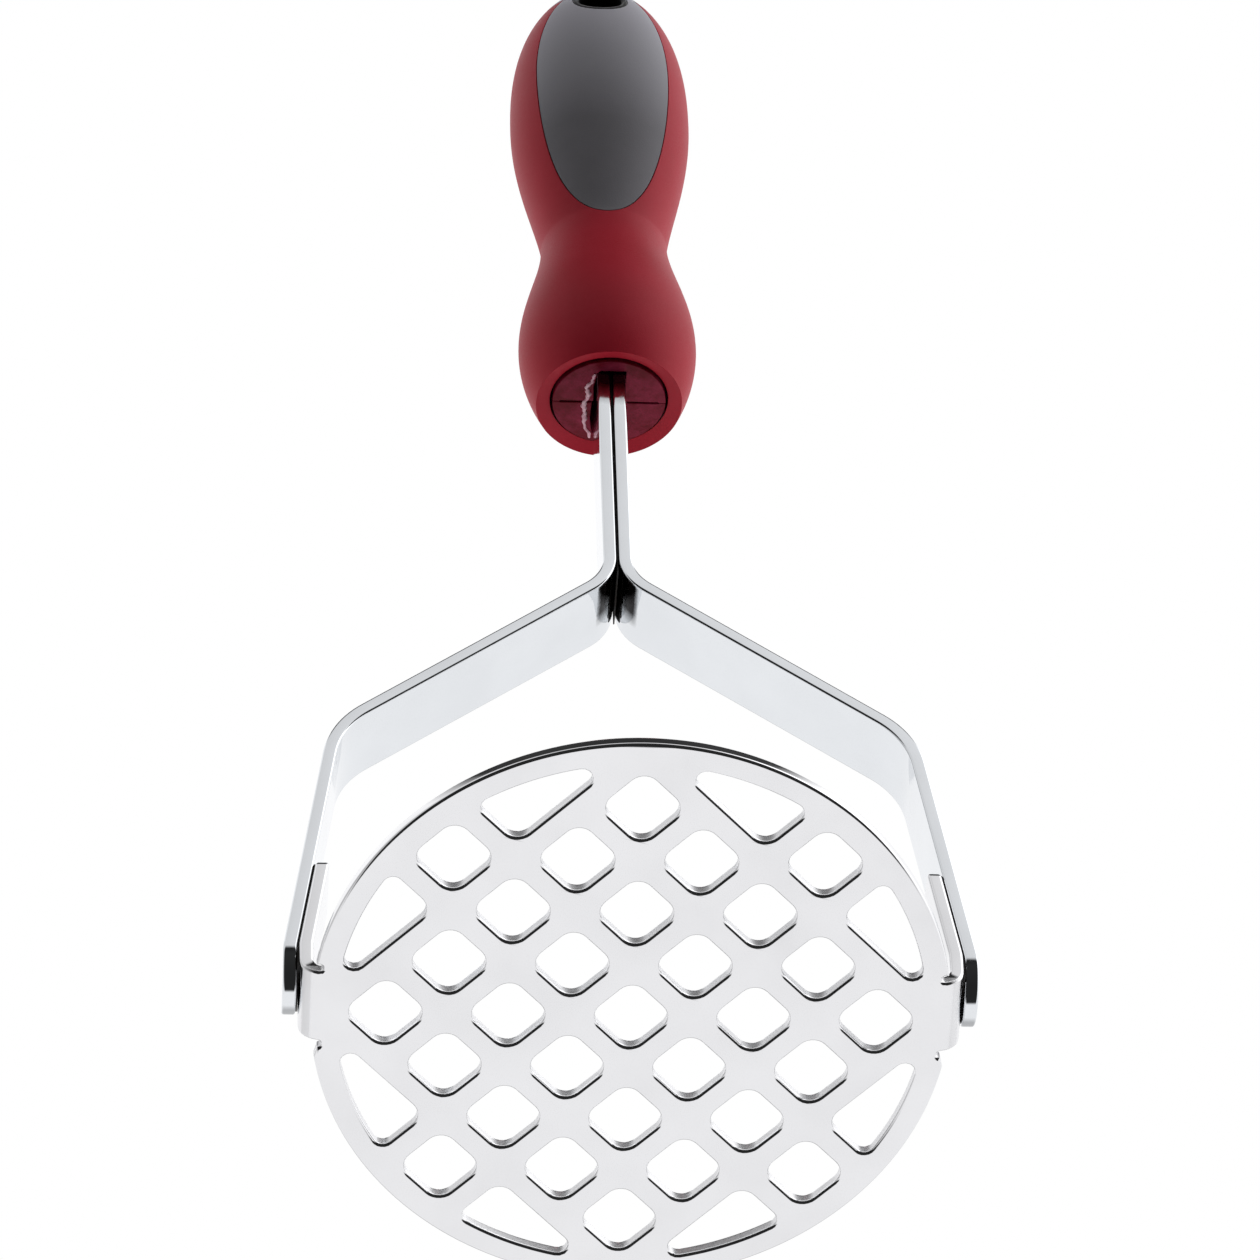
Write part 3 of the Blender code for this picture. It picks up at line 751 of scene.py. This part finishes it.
# %% Bend the strips
def make_strip(name, side, node):
    right = [Vector(pair) for pair in strip_edge(line.lengths[-1])]
    loop = right + [Vector((-point.x, point.y)) for point in right[:0:-1]]
    outward = []
    for number in range(len(loop)):
        along = (loop[(number + 1) % len(loop)] - loop[number - 1]).normalized()
        outward.append(Vector((along.y, -along.x)))
    profile = rolled_profile()
    points = []
    for inset, height in profile:
        for spot, away in zip(loop, outward):
            flat = spot - away * inset
            middle, way = line.at(flat.y)
            place = middle + Vector((way.y, -way.x)) * height
            points.append((side * place.x, flat.x, place.y))
    faces = strip_faces(len(loop), len(profile), len(right))
    even_normals(piece(name, points, faces, strip_chrome, HANDLE_FRAME, [node]))


make_strip("right_strip", 1, "arm_right")
make_strip("left_strip", -1, "arm_left")

# %% [markdown]
# ## Painted shade in the seams
#
# The narrow gaps between ear and strip are deep, and shade falls into them. A thin near-black sheet in each
# gap, a little inside the edges, is painted shade that gives the black line between them. The same painted
# shade fills the gap between the two strips in the neck.

# %% Painted shade in the seams
GAP_SHADE_HALF = 0.11 * MM
NECK_GAP_SHADE_START = 88.5 * MM
NECK_GAP_SHADE_END = 140.0 * MM


def gap_shade_finish():
    material, nodes, shader = new_finish("gap_shade_paint")
    patch = nodes.spread(nodes.noise(500.0, 3.0, 0.6), 0.35, 0.65)
    # Painted shade: faintly patchy near-black sheets stand in for the shade in the gaps.
    colour = nodes.blend(patch, (0.006, 0.006, 0.007), (0.030, 0.022, 0.016))
    finish(nodes, shader, Base_Color=colour, Roughness=nodes.spread(patch, 0.0, 1.0, 0.5, 0.8), Metallic=0.2)
    return material


def thin_sheet(name, paint, outline_at, ups):
    """A closed thin sheet, from the four corners of its cut at each height."""
    rows = []
    for up in ups:
        ring = outline_at(up)
        rows.append([Vector((x, y, up)) for x, y in ring + ring[:1]])
    bottom, top = ([sum(row[:4], Vector()) / 4] * 5 for row in (rows[0], rows[-1]))
    mesh = sheet_mesh(name, [bottom] + rows + [top])
    dress(name, mesh, paint, HANDLE_FRAME, (), 30.0)


def make_gap_shades():
    gap_paint = gap_shade_finish()
    front = -EAR_WIDTH / 2 - EAR_FORWARD + 0.75 * MM
    back = EAR_WIDTH / 2 - EAR_FORWARD - 0.3 * MM

    def ear_gap_shade(up, side):
        middle = FOOT_OUT - STRIP_THICK / 2 - FIT / 2 - lean_in(up)
        near, far = middle - GAP_SHADE_HALF, middle + GAP_SHADE_HALF
        return [(side * x, y) for x, y in ((near, front), (far, front), (far, back), (near, back))]

    # Each gap holds a thin sheet of painted shade.
    for name, side in (("right_gap_shade", 1), ("left_gap_shade", -1)):
        thin_sheet(name, gap_paint, lambda up: ear_gap_shade(up, side), spaced(1.0 * MM, EAR_TOP - 0.25 * MM, 24))
    deep = STRIP_WIDTH / 2 - 0.6 * MM
    neck = [(-GAP_SHADE_HALF, -deep), (GAP_SHADE_HALF, -deep), (GAP_SHADE_HALF, deep), (-GAP_SHADE_HALF, deep)]
    thin_sheet("neck_gap_shade", gap_paint, lambda up: neck, spaced(NECK_GAP_SHADE_START, NECK_GAP_SHADE_END, 8))


make_gap_shades()

# %% [markdown]
# ## The handle's form
#
# The handle is turned: a rounded tip, a full upper bulge, a waist for the fingers, a lower bulge and a
# narrower mouth. One function gives its radius at any height, and every outer piece of the handle lies on
# that surface.

# %% The turned form
MOUTH_UP = 133.6 * MM
LOWER_BULGE_UP = 146.0 * MM
WAIST_UP = 170.2 * MM
UPPER_BULGE_UP = 201.0 * MM
TIP_UP = 232.0 * MM
MOUTH_RADIUS = 12.2 * MM
LOWER_BULGE_RADIUS = 14.9 * MM
WAIST_RADIUS = 10.7 * MM
UPPER_BULGE_RADIUS = 15.35 * MM


def handle_radius(up):
    if up <= LOWER_BULGE_UP:
        away = (LOWER_BULGE_UP - up) / (LOWER_BULGE_UP - MOUTH_UP)
        return LOWER_BULGE_RADIUS - (LOWER_BULGE_RADIUS - MOUTH_RADIUS) * away**2
    if up <= WAIST_UP:
        turn = math.sin(math.pi / 2 * (WAIST_UP - up) / (WAIST_UP - LOWER_BULGE_UP))
        return WAIST_RADIUS + (LOWER_BULGE_RADIUS - WAIST_RADIUS) * turn**1.8
    if up <= UPPER_BULGE_UP:
        turn = math.sin(math.pi / 2 * (up - WAIST_UP) / (UPPER_BULGE_UP - WAIST_UP))
        return WAIST_RADIUS + (UPPER_BULGE_RADIUS - WAIST_RADIUS) * turn**1.3
    away = (up - UPPER_BULGE_UP) / (TIP_UP - UPPER_BULGE_UP)
    return UPPER_BULGE_RADIUS * math.sqrt(max(1 - away**2.4, 0.0))


def on_handle(turn, up):
    """A point of the handle's surface: the turn is 0 at the front and grows towards +x."""
    radius = handle_radius(up)
    return Vector((radius * math.sin(turn), -radius * math.cos(turn), up))


print("handle", round((TIP_UP - MOUTH_UP) / MM, 1), "mm long")

# %% The thumb pad's edge
PAD_UP = 203.0 * MM
PAD_WIDE = 11.3 * MM  # half the pad's width
PAD_DROP = 33.6 * MM  # the pad's reach below its middle
PAD_RISE = 25.0 * MM  # and above it
CAP_UP = 224.0 * MM
PAD_JOINT = 0.08 * MM  # how far sleeve and pad each stand back from the line between them


def pad_turn(up, gap):
    """How far round the thumb pad's edge lies at this height."""
    away = (up - PAD_UP) / ((PAD_RISE if up > PAD_UP else PAD_DROP) + gap)
    wide = (PAD_WIDE + gap) * math.sqrt(max(1 - away**2, 0.0))
    return math.asin(wide / handle_radius(up))


def pad_heights(gap, top, steps):
    """Heights from the pad's tip to the cap's line, close together near the tip where the edge turns."""
    half = steps * 2 // 3
    lower = [PAD_UP - (PAD_DROP + gap) * math.cos(math.pi / 2 * step / half) for step in range(half)]
    return lower + spaced(PAD_UP, top, steps - half)


print("pad edge at the cap", round(math.degrees(pad_turn(CAP_UP, 0.0)), 1), "degrees round")

# %% [markdown]
# ## The red sleeve
#
# The sleeve is a skin with a window in front for the thumb pad. It is drawn as a sheet of rows: full circles
# up to the pad's tip, and above it rows that start and stop at the pad's edge. Solidify gives the skin its
# thickness and a bevel softens its lips, so the joint round the pad is a fine moulded line.

# %% Give a sheet its thickness and soft lips
SLEEVE_WALL = 2.5 * MM
SLEEVE_LIP = 0.35 * MM
SLEEVE_STEPS = 120


def thicken(made, thickness):
    add_modifier(made, "SOLIDIFY", thickness=thickness, offset=-1.0, use_even_offset=True)


def soften(made, lip):
    add_modifier(made, "BEVEL", width=lip, segments=3, limit_method="ANGLE", angle_limit=math.radians(50.0))
    even_normals(made)


def sleeve_row(edge, up):
    """One row of the sleeve, from the pad's edge round the back to its other edge."""
    turns = spaced(edge, 2 * math.pi - edge, SLEEVE_STEPS)
    return [on_handle(turn, up) for turn in turns]


def make_sleeve():
    rows = [sleeve_row(0.0, up) for up in spaced(MOUTH_UP, PAD_UP - PAD_DROP - PAD_JOINT, 44)[:-1]]
    for up in pad_heights(PAD_JOINT, CAP_UP - PAD_JOINT, 60):
        rows.append(sleeve_row(pad_turn(up, PAD_JOINT), up))
    mesh = sheet_mesh("red_sleeve", rows)
    made = dress("red_sleeve", mesh, red_rubber, HANDLE_FRAME, ["grip_sleeve"], 60.0)
    thicken(made, SLEEVE_WALL)
    soften(made, SLEEVE_LIP)


make_sleeve()

# %% [markdown]
# ## The grey cap and thumb pad
#
# Cap and pad are one moulding: a dome over the tip whose front runs down into a long oval for the thumb. The
# dome's front columns carry on down the pad, so the two are one smooth sheet. A rounded prism cuts the
# hanging hole through it.

# %% The hanging hole
HANG_UP = 221.4 * MM
HANG_HALF_WIDTH = 4.8 * MM
HANG_HALF_HEIGHT = 4.7 * MM
HANG_CORNER = 4.6 * MM
CUTTER_REACH = 20.0 * MM


def hang_loop(inset):
    """The hole's outline, smaller by the inset."""
    half_width = HANG_HALF_WIDTH - inset
    half_height = HANG_HALF_HEIGHT - inset
    ways = ((1, 1), (-1, 1), (-1, -1), (1, -1))
    corners = [Vector((x * half_width, HANG_UP + z * half_height)) for x, z in ways]
    return rounded_loop(corners, HANG_CORNER - inset, 8)


def hang_cutter():
    """The prism that cuts the hanging hole. It isn't part of the masher, so it is a hidden helper."""
    points = []
    loop = hang_loop(0.0)
    for depth in (-CUTTER_REACH, CUTTER_REACH):
        points += [(point.x, depth, point.y) for point in loop]
    size = len(loop)
    faces = [tuple(range(size)), tuple(range(2 * size - 1, size - 1, -1))]
    faces += [(n, n + size, (n + 1) % size + size, (n + 1) % size) for n in range(size)]
    mesh = bpy.data.meshes.new("hang_cutter")
    mesh.from_pydata(points, [], faces)
    mesh.transform(HANDLE_FRAME)
    with edited(mesh) as work:
        face_outwards(work)
    made = bpy.data.objects.new("hang_cutter", mesh)
    bpy.context.scene.collection.objects.link(made)
    made.hide_render = True
    made.display_type = "WIRE"
    return made


# %% The cap with its pad
CAP_WALL = 1.8 * MM
CAP_LIP = 0.3 * MM
FRONT_STEPS = 36
BACK_STEPS = 84
DOME_STEPS = 28


def front_turns(edge):
    return [edge * (2 * step / FRONT_STEPS - 1) for step in range(FRONT_STEPS + 1)]


def cap_mesh():
    """The pad and the dome, drawn as two sheets and joined at the cap's line."""
    gap = -PAD_JOINT
    rows = []
    for up in pad_heights(gap, CAP_UP - gap, 60):
        rows.append([on_handle(turn, up) for turn in front_turns(pad_turn(up, gap))])
    pad = sheet_mesh("pad", rows)
    edge = pad_turn(CAP_UP - gap, gap)
    back = [edge + (2 * math.pi - 2 * edge) * step / BACK_STEPS for step in range(1, BACK_STEPS + 1)]
    rows = []
    for step in range(DOME_STEPS + 1):
        up = CAP_UP - gap + (TIP_UP - CAP_UP + gap) * math.sin(math.pi / 2 * step / DOME_STEPS)
        rows.append([on_handle(turn, up) for turn in front_turns(edge) + back])
    dome = sheet_mesh("dome", rows)
    mesh = bpy.data.meshes.new("grey_cap")
    with edited(mesh) as work:
        work.from_mesh(pad)
        work.from_mesh(dome)
        merge_doubles(work)
    return mesh


def make_cap():
    made = dress("grey_cap", cap_mesh(), grey_rubber, HANDLE_FRAME, ["thumb_cap"], 60.0)
    thicken(made, CAP_WALL)
    add_modifier(made, "BOOLEAN", object=hang_cutter(), operation="DIFFERENCE", solver="EXACT")
    soften(made, CAP_LIP)


make_cap()

# %% [markdown]
# ## The hanging hole's lining, painted black as the shade inside the hole
#
# The lining is a rounded tube whose two ends follow the handle's skin. Rings of the same loop, each a little
# smaller, carry it from the skin over a soft lip, through the handle, and out at the back.

# %% The lining
LIP_INSETS = (0.12, 0.12, 0.22, 0.42, 0.75, 1.05, 1.20)  # millimetres inside the hole's edge
LIP_RISES = (-1.2, -0.25, -0.05, 0.0, -0.08, -0.4, -1.0)  # and out from the handle's skin


def make_lining():
    rings = []
    for face in (-1, 1):
        group = []
        for inset, rise in zip(LIP_INSETS, LIP_RISES):
            ring = []
            for point in hang_loop(inset * MM):
                skin = math.sqrt(max(handle_radius(point.y) ** 2 - point.x**2, 0.0))
                ring.append((point.x, face * (skin + rise * MM), point.y))
            group.append(ring)
        rings += group if face == -1 else group[::-1]
    size = len(rings[0])
    points = [point for ring in rings for point in ring]
    faces = []
    for number in range(len(rings)):
        here = number * size
        there = (number + 1) % len(rings) * size
        faces += [(here + n, here + (n + 1) % size, there + (n + 1) % size, there + n) for n in range(size)]
    # Near black: painted shade for the dark inside of the hole.
    piece("hole_shade_lining", points, faces, hole_shade_plastic, HANDLE_FRAME, ["hang_hole_liner"])


make_lining()

# %% [markdown]
# ## The core in the mouth
#
# In the handle's mouth the hard core shows: a disc in two halves, which part across the middle but meet again
# just inside the rim, with a slot that the strips go into. Each half is an outline with a depth and rolled
# edges, like the plate. The slot is a little wide at the back left, where a ragged line of flash has squeezed
# up.

# %% The two halves of the disc
CORE_UP = MOUTH_UP + 0.45 * MM
CORE_RADIUS = 9.45 * MM
CORE_DEPTH = 7.0 * MM
CORE_ROLL = 0.16 * MM
PARTING_END = 8.1 * MM
PARTING_HALF = 0.17 * MM
RIM_TOUCH = 0.012 * MM  # half the gap where the halves meet again
SLOT_RIGHT = 2.55 * MM


def half_disc(side):
    """Half of the disc's outline. The slot is tight in front and on the right, and wide at the back left."""
    turn = math.asin(RIM_TOUCH / CORE_RADIUS)
    rim = arc((0, 0), CORE_RADIUS, turn, math.pi - turn, 64)
    left = 2.85 * MM if side > 0 else 2.6 * MM
    deep = STRIP_WIDTH / 2 + (1.0 if side > 0 else 0.3) * MM
    slot = [
        Vector((-PARTING_END - 0.3 * MM, RIM_TOUCH)),
        Vector((-PARTING_END, PARTING_HALF)),
        Vector((-left, PARTING_HALF)),
        Vector((-left - 0.15 * MM, deep * 0.5)),
        Vector((-left + 0.35 * MM, deep - 0.5 * MM)),
        Vector((-left + 0.9 * MM, deep)),
        Vector((SLOT_RIGHT, deep)),
        Vector((SLOT_RIGHT, PARTING_HALF)),
        Vector((PARTING_END, PARTING_HALF)),
        Vector((PARTING_END + 0.3 * MM, RIM_TOUCH)),
    ]
    return [Vector((point.x, side * point.y)) for point in rim + slot]


def make_core():
    where = HANDLE_FRAME @ Matrix.Translation((0.0, 0.0, CORE_UP + CORE_DEPTH / 2))
    for name, side, node in (("plum_front", -1, "core_front"), ("plum_back", 1, "core_back")):
        mesh = punched([half_disc(side)], CORE_DEPTH, CORE_ROLL)
        even_normals(dress(name, mesh, plum_plastic, where, [node]))


make_core()

# %% The ragged line of flash
FLASH_STEPS = 90
FLASH_OUTS = (-2.7, -3.0, -3.9, -3.5, -4.2, -3.95, -3.9, -2.8)  # millimetres across, knot by knot
FLASH_DEPTHS = (-6.6, -5.0, -3.4, -1.6, 0.6, 2.6, 5.0, 8.3)  # and from front to back


def flash_fatness(step):
    """Half the ribbon's width in millimetres. It swells and shrinks, and its two ends are thin."""
    swell = 0.36 + 0.08 * math.sin(step * 0.37 + 0.6) + 0.06 * step / FLASH_STEPS
    return swell * math.sin(math.pi * (step + 2) / (FLASH_STEPS + 4)) ** 0.3


def make_flash():
    """A thin ribbon that wanders beside the slot, thicker where it has pooled."""
    rows = []
    for step in range(FLASH_STEPS + 1):
        part = step / FLASH_STEPS * (len(FLASH_OUTS) - 1)
        number = min(int(part), len(FLASH_OUTS) - 2)
        part -= number
        ease = part * part * (3 - 2 * part)
        out = FLASH_OUTS[number] + (FLASH_OUTS[number + 1] - FLASH_OUTS[number]) * ease
        out += 0.09 * math.sin(step * 0.9)
        deep = FLASH_DEPTHS[number] + (FLASH_DEPTHS[number + 1] - FLASH_DEPTHS[number]) * part
        fat = flash_fatness(step)
        ring = []
        for turn in range(9):
            angle = 2 * math.pi * turn / 8
            height = CORE_UP + 0.9 * fat * math.sin(angle) * MM
            ring.append(((out + fat * math.cos(angle)) * MM, deep * MM, height))
        rows.append(ring)
    mesh = sheet_mesh("pink_flash", rows)
    dress("pink_flash", mesh, pink_flash, HANDLE_FRAME, (), 80.0)


make_flash()

# %% [markdown]
# ## The pin
#
# A cross pin holds the strips in the core. It is quite hidden, so it keeps its engineering shape and only
# gets a plain steel finish.

# %% Finish the pin
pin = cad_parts["tang_pin"]
pin.data.materials.clear()
pin.data.materials.append(pin_steel)
print("pin finished in", pin.data.materials[0].name)

# %% [markdown]
# ## Floor, light and camera
#
# The masher stands on a pale floor, but it is looked at from below. So the floor only shows itself to an eye
# above it: seen from below, and to every reflection, it is clear. The light is a pale room with a bright lamp
# overhead, a dark ceiling round it and a dimmer front wall. Chrome needs such a room, because it shows
# nothing but what it reflects.

# %% Floor
FLOOR_HALF = 3
FLOOR_DROP = 0.4 * MM


def make_floor():
    material, nodes, shader = new_finish("pale_floor")
    finish(nodes, shader, Base_Color=(0.86, 0.86, 0.85), Roughness=0.8)
    seen = nodes.add("ShaderNodeLightPath", output="Is Camera Ray")
    behind = nodes.add("ShaderNodeNewGeometry", output="Backfacing")
    clear = nodes.add("ShaderNodeBsdfTransparent")
    shown = nodes.add("ShaderNodeMixShader", {}, [seen * (1 - behind), clear, Wire(nodes, shader.outputs[0])])
    nodes.feed(material.node_tree.nodes["Material Output"].inputs["Surface"], shown)
    mesh = bpy.data.meshes.new("floor")
    ways = ((-1, -1), (1, -1), (1, 1), (-1, 1))
    mesh.from_pydata([(x * FLOOR_HALF, y * FLOOR_HALF, -FLOOR_DROP) for x, y in ways], [], [(0, 1, 2, 3)])
    mesh.materials.append(material)
    floor = bpy.data.objects.new("floor", mesh)
    bpy.context.scene.collection.objects.link(floor)
    print("floor", 2 * FLOOR_HALF, "m wide")


make_floor()

# %% A room for the chrome to reflect
def make_room():
    world = bpy.data.worlds.new("pale_room")
    bpy.context.scene.world = world
    world.use_nodes = True
    world.node_tree.nodes.clear()
    nodes = Nodes(world.node_tree)
    way = nodes.add("ShaderNodeTexCoord", output="Generated")

    def facing(x, y, z):
        """How nearly the ray points the given way: 1 is straight at it."""
        return nodes.vectors("DOT_PRODUCT", way, (x, y, z), output=1)

    overhead = facing(0.0, 0.0, 1.0)
    ceiling = nodes.spread(facing(0.0, -0.35, 0.937), 0.83, 0.90) * nodes.fade(overhead, 0.985, 0.995)
    front = nodes.spread(facing(0.0, -0.70, -0.714), 0.33, 0.44) * nodes.fade(overhead, 0.12, 0.26)
    rear = nodes.spread(facing(0.0, 0.95, 0.31), 0.80, 0.97)
    grey = nodes.spread(facing(0.0, -0.88, 0.475), 0.80, 0.95)
    glow = nodes.spread(facing(0.0, -0.87, 0.49), 0.0, 0.9, 1.0, 1.45)
    window = nodes.spread(facing(0.83, -0.50, 0.25), 0.55, 0.95, 0.0, 0.55)
    shade = nodes.spread(facing(-0.93, -0.35, 0.10), 0.50, 0.95)
    level = glow + window
    for dark, depth in ((ceiling, 0.97), (front, 0.98), (grey, 0.46), (shade, 0.50), (rear, 0.45)):
        level = level * (1 - dark * depth)
    studio = nodes.add("ShaderNodeBackground", {}, {"Color": (0.99, 0.99, 1.0), "Strength": level * 1.05})
    plain = nodes.add("ShaderNodeBackground", {}, {"Color": (1.0, 1.0, 1.0), "Strength": 1.0})
    seen = nodes.add("ShaderNodeLightPath", output="Is Camera Ray")
    both = nodes.add("ShaderNodeMixShader", {}, [seen, studio, plain])
    end = world.node_tree.nodes.new("ShaderNodeOutputWorld")
    nodes.feed(end.inputs["Surface"], both)
    print("room", world.name)


make_room()
bpy.context.scene.view_settings.view_transform = "Standard"

# %% Camera
CAMERA_SPOT = Vector((-0.0833, -0.7621, -1.1586))  # from the middle of the plate's underside
CAMERA_AHEAD = Vector((0.059, 0.5118, 0.8571))
CAMERA_RIGHT = Vector((0.998, -0.048, -0.0401))
LENS = 254.3  # millimetres, for a sensor that is 36 mm wide


def make_camera():
    data = bpy.data.cameras.new("camera")
    data.sensor_width = 36.0
    data.lens = LENS
    camera = bpy.data.objects.new("camera", data)
    ahead = CAMERA_AHEAD.normalized()
    above = CAMERA_RIGHT.normalized().cross(ahead).normalized()
    right = ahead.cross(above)
    turned = Matrix((right, above, -ahead)).transposed().to_4x4()
    camera.matrix_world = Matrix.Translation(CAMERA_SPOT + PLATE_FRAME.translation) @ turned
    bpy.context.scene.collection.objects.link(camera)
    bpy.context.scene.camera = camera
    print("camera at", camera.matrix_world.translation)


make_camera()
